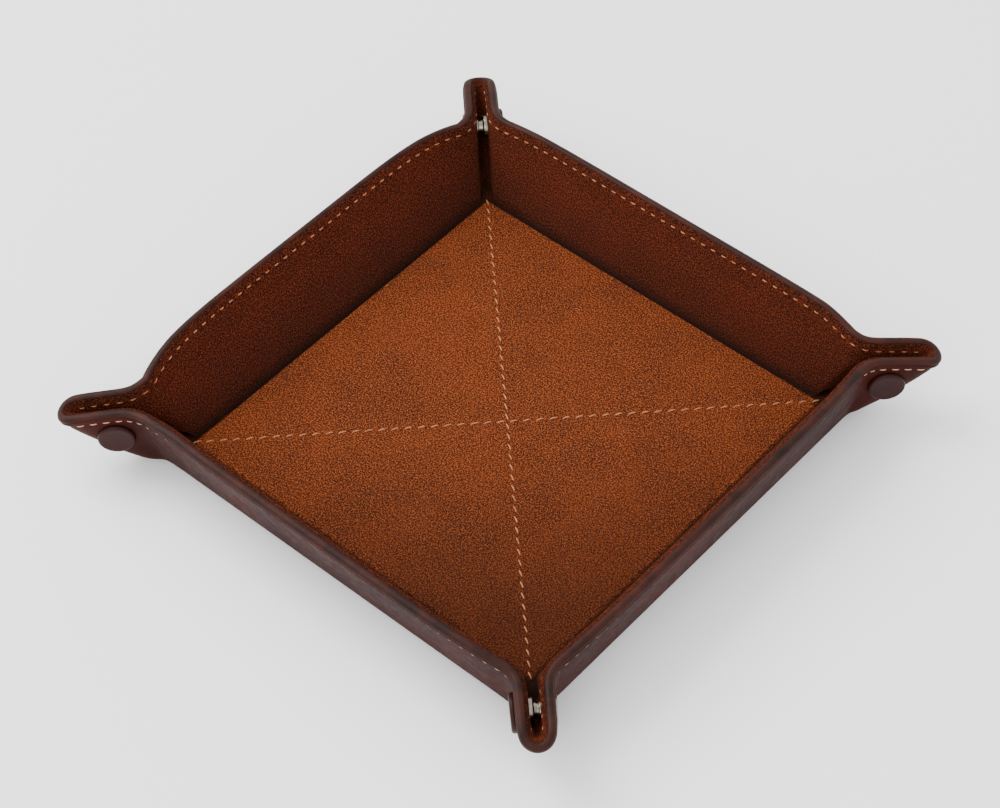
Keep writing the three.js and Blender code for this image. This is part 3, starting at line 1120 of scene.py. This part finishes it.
def make_snap(wall, sign, body):
    """The half of the snap that this ear half carries: cap and socket, or post and stud."""
    corner = CORNERS[wall][sign]
    origin, out = ear_frame(wall, sign)
    if CAP_SIDE[corner] == wall:
        made = (
            ("cap", cap_profile(CAP_RADIUS, CAP_THICKNESS), PAINT, "snap_paint", "snap_cap"),
            ("socket", socket_profile(), NICKEL, "nickel", "snap_socket"),
        )
    else:
        made = (
            ("post", cap_profile(POST_RADIUS, POST_THICKNESS), NICKEL, "nickel", "snap_post"),
            ("stud", stud_profile(), NICKEL, "nickel", "snap_stud"),
        )
    for name, profile, material, slot, node in made:
        piece = turned_object(f"{corner}_{name}", profile, origin, -out, material)
        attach(piece, body)
        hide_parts(f"{corner}_{node}")


def cap_profile(radius, thickness):
    """A flat head with a rounded edge and a slightly raised rim, outside the leather."""
    face = -HALF_SHEET - thickness
    bend = thickness * 0.55
    return [
        (0.01, face + 0.12),
        (radius * 0.62, face + 0.1),
        (radius * 0.78, face + 0.02),
        *rounded((radius - bend, face + bend), bend, start=-90),
        (radius, -HALF_SHEET - 0.1),
        (radius - 0.4, -HALF_SHEET + 0.25),
        (0.01, -HALF_SHEET + 0.25),
    ]


def socket_profile():
    """A ring on the lining, which reaches almost to the plane between the ear halves."""
    foot, floor, top = HALF_SHEET - SNAP_SUNK, HALF_SHEET + 0.5, EAR_DISTANCE - 0.2
    return [
        (SNAP_HOLE_RADIUS, foot),
        (SOCKET_RADIUS, foot),
        *rounded((SOCKET_RADIUS - SNAP_BEND, top - SNAP_BEND), SNAP_BEND),
        (SOCKET_BORE + 0.2, top - 0.05),
        (SOCKET_BORE, top - 0.3),
        (SOCKET_BORE, floor),
        (SNAP_HOLE_RADIUS, floor),
    ]


def stud_profile():
    """A knob with a narrower neck, whose top stands inside the socket."""
    foot, top = HALF_SHEET - SNAP_SUNK, EAR_DISTANCE + 0.7
    return [
        (SNAP_HOLE_RADIUS, foot),
        (STUD_BASE_RADIUS, foot),
        *rounded((STUD_BASE_RADIUS - 0.3, HALF_SHEET + 0.3), 0.3, steps=4),
        (STUD_NECK_RADIUS + 0.1, HALF_SHEET + 0.6),
        (STUD_NECK_RADIUS, HALF_SHEET + 1),
        *rounded((STUD_RADIUS - SNAP_BEND, top - SNAP_BEND), SNAP_BEND),
        (SNAP_HOLE_RADIUS, top),
    ]


make_floor()
make_cross_seams()
for index, wall in enumerate(WALLS):
    make_wall(wall)
    make_lining_fold(wall)
    make_gusset(index)
    for sign in (1, -1):
        make_ear(wall, sign)

# ---- studio ----

# the camera is solved from the tray's square floor, seen with one corner in front
VIEW_AZIMUTH = math.radians(45 - 2.21)
VIEW_ELEVATION = math.radians(49.25)
VIEW_ROLL = math.radians(-2.1)
VIEW_DISTANCE = 892.7 * MM
VIEW_AIM = Vector((-6.6, 4.1, 4.0)) * MM
LENS = 99.4
SENSOR = 36
BACKDROP_REACH = 2.5
WORLD_STRENGTH = 1.75


def make_camera():
    camera = bpy.data.cameras.new("camera")
    camera.lens = LENS
    camera.sensor_width = SENSOR
    obj = add_object("camera", camera)
    reach = math.cos(VIEW_ELEVATION)
    side, front = math.sin(VIEW_AZIMUTH) * reach, math.cos(VIEW_AZIMUTH) * reach
    back = Vector((side, -front, math.sin(VIEW_ELEVATION)))
    level = back.to_track_quat("Z", "Y").to_matrix().to_4x4()
    roll = Matrix.Rotation(VIEW_ROLL, 4, back)
    obj.matrix_world = Matrix.Translation(VIEW_AIM + back * VIEW_DISTANCE) @ roll @ level
    camera.clip_start = 0.05
    bpy.context.scene.camera = obj


def make_backdrop():
    reach = BACKDROP_REACH
    mesh = bpy.data.meshes.new("backdrop")
    corners = [(-reach, -reach, 0), (reach, -reach, 0), (reach, reach, 0), (-reach, reach, 0)]
    mesh.from_pydata(corners, [], [(0, 1, 2, 3)])
    mesh.materials.append(backdrop_material())
    add_object("backdrop", mesh)


def area_light(name, at, size, watts, tint):
    """A square light that looks at the middle of the tray."""
    light = bpy.data.lights.new(name, "AREA")
    light.energy = watts
    light.size = size
    light.color = tint
    obj = add_object(name, light)
    obj.location = at
    obj.rotation_mode = "QUATERNION"
    obj.rotation_quaternion = Vector(at).to_track_quat("Z", "Y")


def make_lights():
    world = bpy.data.worlds.new("studio")
    world.use_nodes = True
    background = world.node_tree.nodes["Background"]
    background.inputs["Color"].default_value = (1, 1, 1, 1)
    background.inputs["Strength"].default_value = WORLD_STRENGTH
    bpy.context.scene.world = world
    area_light("window", at=(-0.9, -0.15, 1.1), size=0.9, watts=22, tint=(1.0, 0.99, 0.97))
    area_light("fill", at=(0.4, -1.0, 0.9), size=0.8, watts=6, tint=(0.97, 0.98, 1.0))


make_camera()
make_backdrop()
make_lights()
